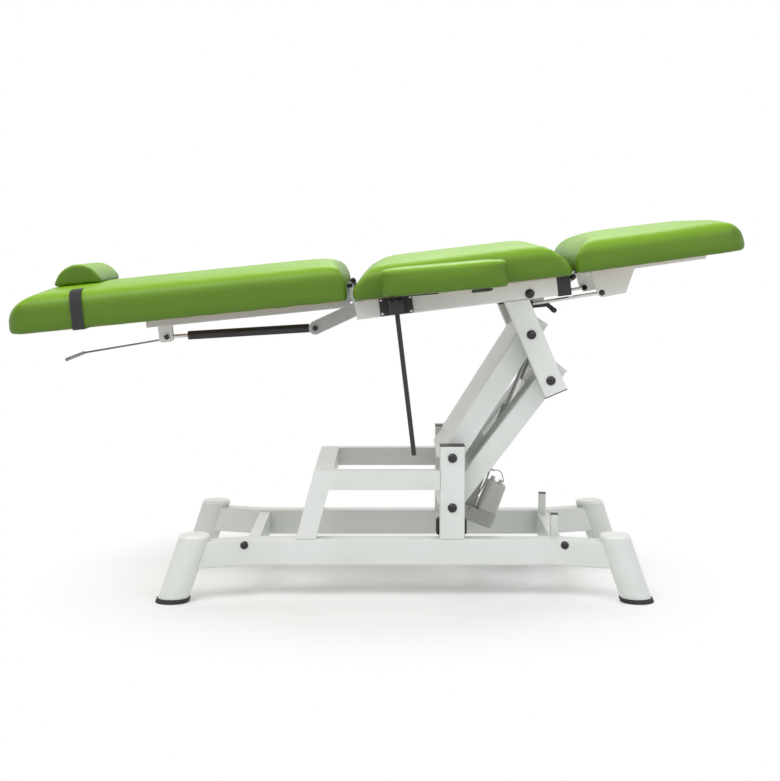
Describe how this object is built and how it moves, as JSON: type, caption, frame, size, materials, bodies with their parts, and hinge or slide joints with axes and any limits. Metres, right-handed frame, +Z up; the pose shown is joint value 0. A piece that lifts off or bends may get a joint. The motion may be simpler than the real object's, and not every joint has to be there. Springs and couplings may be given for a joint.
{
  "type": "treatment chair",
  "caption": "Electric treatment and blood draw chair that folds flat: scissor-arm lift on a splayed steel base, padded back, seat and leg sections, padded armrests and a strapped pillow.",
  "frame": {"origin": "middle of the length and width of the raised, flat couch, on the floor", "axes": "+X from the head end to the foot end, +Y across the chair away from the near side, +Z up"},
  "size_m": [1.9052, 0.844, 0.9865],
  "materials": {
    "white_paint": "gloss",
    "grey_steel": "satin",
    "black_plastic": "matte",
    "black_rubber": "matte",
    "green_vinyl": "satin",
    "black_steel": "satin",
    "bright_steel": "polished",
    "board": "matte",
    "white_cap": "gloss",
    "strap": "woven"
  },
  "bodies": {
    "base": {"leg_tubes": "white_paint", "foot_pads": "black_rubber", "leg_top_caps": "white_cap", "side_beams": "white_paint", "beam_bolts": "black_plastic", "base_cross_tubes": "white_paint", "posts": "white_paint", "brace_frames": "white_paint", "stop_posts": "white_paint", "base_tube_caps": "black_plastic", "control_box": "black_plastic", "actuator_clevis": "white_paint", "base_pivot_bolts": "black_steel"},
    "upper_arm": {"upper_arm": "white_paint", "actuator_top_bracket": "white_paint"},
    "lower_arm": {"lower_arm": "white_paint"},
    "actuator_housing": {"actuator_gear_case": "black_plastic", "actuator_motor_cover": "black_plastic", "actuator_tube": "black_steel"},
    "actuator_rod": {"actuator_rod": "bright_steel"},
    "seat": {"seat_side_tubes": "white_paint", "links": "white_paint", "seat_frame_caps": "black_plastic", "link_bolts": "black_steel", "seat_cross_tubes": "white_paint", "hinge_ears": "white_paint", "hinge_pins": "black_steel", "spring_fork": "grey_steel", "armrest_clamps": "black_plastic", "clamp_screws": "bright_steel", "seat_board": "board", "seat_cushion": "green_vinyl", "leg_lever_bracket": "white_paint"},
    "near_armrest_rod": {"near_armrest_rod": "black_steel"},
    "far_armrest_rod": {"far_armrest_rod": "black_steel"},
    "near_armrest": {"near_armrest_plate": "black_plastic", "near_armrest_pad": "green_vinyl"},
    "far_armrest": {"far_armrest_plate": "black_plastic", "far_armrest_pad": "green_vinyl"},
    "near_clamp_knob": {"near_clamp_knob": "black_plastic"},
    "far_clamp_knob": {"far_clamp_knob": "black_plastic"},
    "back": {"back_board": "board", "back_cushion": "green_vinyl", "back_frame": "white_paint", "back_bracket": "white_paint"},
    "back_spring_cylinder": {"back_spring_cylinder": "black_steel"},
    "back_spring_rod": {"back_spring_rod": "bright_steel"},
    "back_release_lever": {"back_release_lever": "black_steel"},
    "pillow": {"pillow": "green_vinyl", "pillow_strap": "strap"},
    "leg_section": {"leg_board": "board", "leg_cushion": "green_vinyl", "leg_frame": "white_paint", "leg_gussets": "white_paint"},
    "near_strut_sleeve": {"near_strut_sleeve": "black_steel"},
    "far_strut_sleeve": {"far_strut_sleeve": "black_steel"},
    "near_strut_rod": {"near_strut_rod": "bright_steel"},
    "far_strut_rod": {"far_strut_rod": "bright_steel"},
    "leg_lever": {"leg_lever": "black_plastic"}
  },
  "joints": [
    {"name": "lift", "type": "hinge", "parent": "base", "child": "upper_arm", "pos_m": [0.19919, 0, 0.37], "axis": [0, 1, 0], "range_deg": [0, 58.8]},
    {"name": "lower_arm_swing", "type": "hinge", "parent": "base", "child": "lower_arm", "pos_m": [0.19919, 0, 0.239], "axis": [0, 1, 0], "range_deg": [0, 60]},
    {"name": "seat_levelling", "type": "hinge", "parent": "upper_arm", "child": "seat", "pos_m": [0.40222, 0, 0.6924], "axis": [0, 1, 0], "range_deg": [-60, 0]},
    {"name": "actuator_swing", "type": "hinge", "parent": "base", "child": "actuator_housing", "pos_m": [0.23309, 0, 0.1593], "axis": [0, 1, 0], "range_deg": [0, 45]},
    {"name": "actuator_stroke", "type": "slide", "parent": "actuator_housing", "child": "actuator_rod", "axis": [0.3681, 0, 0.9298], "range_m": [-0.17, 0]},
    {"name": "back_recline", "type": "hinge", "parent": "seat", "child": "back", "pos_m": [-0.06896, 0, 0.81905], "axis": [0, 1, 0], "range_deg": [0, 70]},
    {"name": "back_spring_swing", "type": "hinge", "parent": "seat", "child": "back_spring_cylinder", "pos_m": [-0.1678, 0, 0.69594], "axis": [0, 1, 0], "range_deg": [0, 75]},
    {"name": "back_spring_stroke", "type": "slide", "parent": "back_spring_cylinder", "child": "back_spring_rod", "axis": [-0.9982, 0, -0.0603], "range_m": [0, 0.21]},
    {"name": "back_lever_pull", "type": "hinge", "parent": "back", "child": "back_release_lever", "pos_m": [-0.5888, 0, 0.66201], "axis": [0, 1, 0], "range_deg": [0, 12]},
    {"name": "pillow_slide", "type": "slide", "parent": "back", "child": "pillow", "axis": [0.9949, 0, 0.1011], "range_m": [0, 0.13]},
    {"name": "leg_fold", "type": "hinge", "parent": "seat", "child": "leg_section", "pos_m": [0.51229, 0, 0.84053], "axis": [0, 1, 0], "range_deg": [0, 80]},
    {"name": "leg_lever_pull", "type": "hinge", "parent": "seat", "child": "leg_lever", "pos_m": [0.38618, -0.14, 0.76198], "axis": [0, 1, 0], "range_deg": [-15, 0]},
    {"name": "near_strut_swing", "type": "hinge", "parent": "seat", "child": "near_strut_sleeve", "pos_m": [0.37739, -0.19, 0.76475], "axis": [0, 1, 0], "range_deg": [0, 20]},
    {"name": "near_strut_slide", "type": "slide", "parent": "near_strut_sleeve", "child": "near_strut_rod", "axis": [0.9872, 0, 0.1597], "range_m": [-0.12, 0]},
    {"name": "near_armrest_height", "type": "slide", "parent": "seat", "child": "near_armrest_rod", "axis": [-0.1196, 0, 0.9928], "range_m": [0, 0.25]},
    {"name": "near_armrest_swivel", "type": "hinge", "parent": "near_armrest_rod", "child": "near_armrest", "pos_m": [0.04921, -0.354, 0.79169], "axis": [-0.1196, 0, 0.9928], "range_deg": [-90, 0]},
    {"name": "near_clamp_turn", "type": "hinge", "parent": "seat", "child": "near_clamp_knob", "pos_m": [0.05196, -0.375, 0.76885], "axis": [0, -1, 0], "range_deg": [0, 360]},
    {"name": "far_strut_swing", "type": "hinge", "parent": "seat", "child": "far_strut_sleeve", "pos_m": [0.37739, 0.19, 0.76475], "axis": [0, 1, 0], "range_deg": [0, 20]},
    {"name": "far_strut_slide", "type": "slide", "parent": "far_strut_sleeve", "child": "far_strut_rod", "axis": [0.9872, 0, 0.1597], "range_m": [-0.12, 0]},
    {"name": "far_armrest_height", "type": "slide", "parent": "seat", "child": "far_armrest_rod", "axis": [-0.1196, 0, 0.9928], "range_m": [0, 0.25]},
    {"name": "far_armrest_swivel", "type": "hinge", "parent": "far_armrest_rod", "child": "far_armrest", "pos_m": [0.04921, 0.354, 0.79169], "axis": [-0.1196, 0, 0.9928], "range_deg": [0, 90]},
    {"name": "far_clamp_turn", "type": "hinge", "parent": "seat", "child": "far_clamp_knob", "pos_m": [0.05196, 0.375, 0.76885], "axis": [0, 1, 0], "range_deg": [0, 360]}
  ],
  "couplings": [
    {"joint": "lower_arm_swing", "follows": "lift", "ratio": 0.89586},
    {"joint": "seat_levelling", "follows": "lift", "ratio": -0.89974},
    {"joint": "actuator_swing", "follows": "lift", "ratio": 0.72022},
    {"joint": "actuator_stroke", "follows": "lift", "m_per_rad": -0.16237},
    {"joint": "back_spring_swing", "follows": "back_recline", "ratio": 1.0318},
    {"joint": "back_spring_stroke", "follows": "back_recline", "m_per_rad": 0.14742},
    {"joint": "near_strut_swing", "follows": "leg_fold", "ratio": 0.16578},
    {"joint": "near_strut_slide", "follows": "leg_fold", "m_per_rad": -0.076822},
    {"joint": "far_strut_swing", "follows": "leg_fold", "ratio": 0.16578},
    {"joint": "far_strut_slide", "follows": "leg_fold", "m_per_rad": -0.076822}
  ]
}
